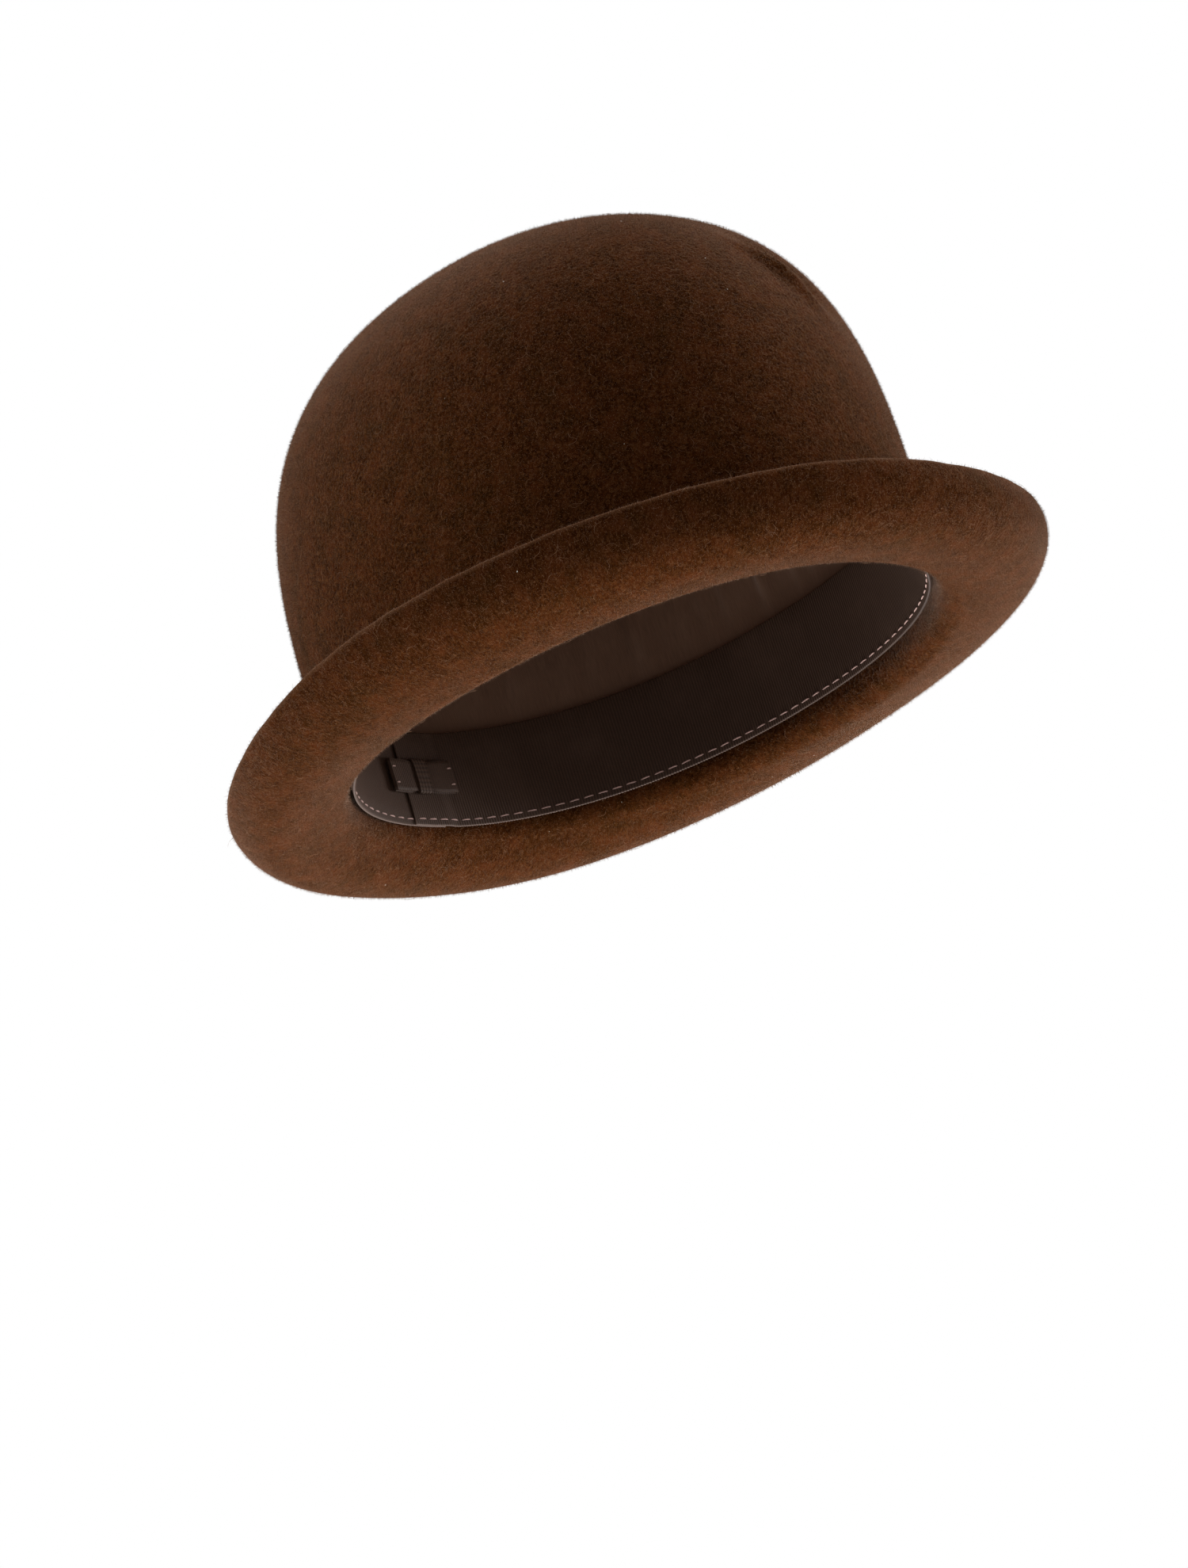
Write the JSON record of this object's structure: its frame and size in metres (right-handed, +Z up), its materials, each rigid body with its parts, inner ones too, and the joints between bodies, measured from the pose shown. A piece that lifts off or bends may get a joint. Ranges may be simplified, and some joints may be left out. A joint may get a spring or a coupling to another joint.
{
  "type": "bowler hat",
  "caption": "Felt bowler hat with a round crown, a curled raw-edge brim, a ribbon sweatband with a small bow, a satin lining and a hinged care label.",
  "frame": {"origin": "centre of the head opening, on the plane where the crown wall meets the brim at the sides", "axes": "+Z up through the crown, -Y towards the front of the hat, +X towards the wearer's left"},
  "size_m": [0.2444, 0.2757, 0.1571],
  "materials": {
    "felt": "brushed wool felt with a short nap",
    "ribbon": "ribbed grosgrain ribbon",
    "lining_satin": "soft satin",
    "thread": "matte thread",
    "label": "woven label tape"
  },
  "bodies": {
    "hat": {"felt_hood": "felt", "sweatband": "ribbon", "sweatband_stitches": "thread", "bow_loops": "ribbon", "bow_knot": "ribbon", "bow_stitches": "thread", "lining_side": "lining_satin", "lining_tip": "lining_satin", "lining_piping": "lining_satin", "maker_label": "label", "maker_label_stitches": "thread", "care_label_hem": "label", "care_label_stitches": "thread"},
    "care_label": {"care_label_flap": "label"}
  },
  "joints": [
    {"name": "care_label_fold", "type": "hinge", "parent": "hat", "child": "care_label", "pos_m": [-0.06825, 0.05332, 0.0285], "axis": [-0.4409, -0.8976, 0], "range_deg": [0, 150]}
  ]
}
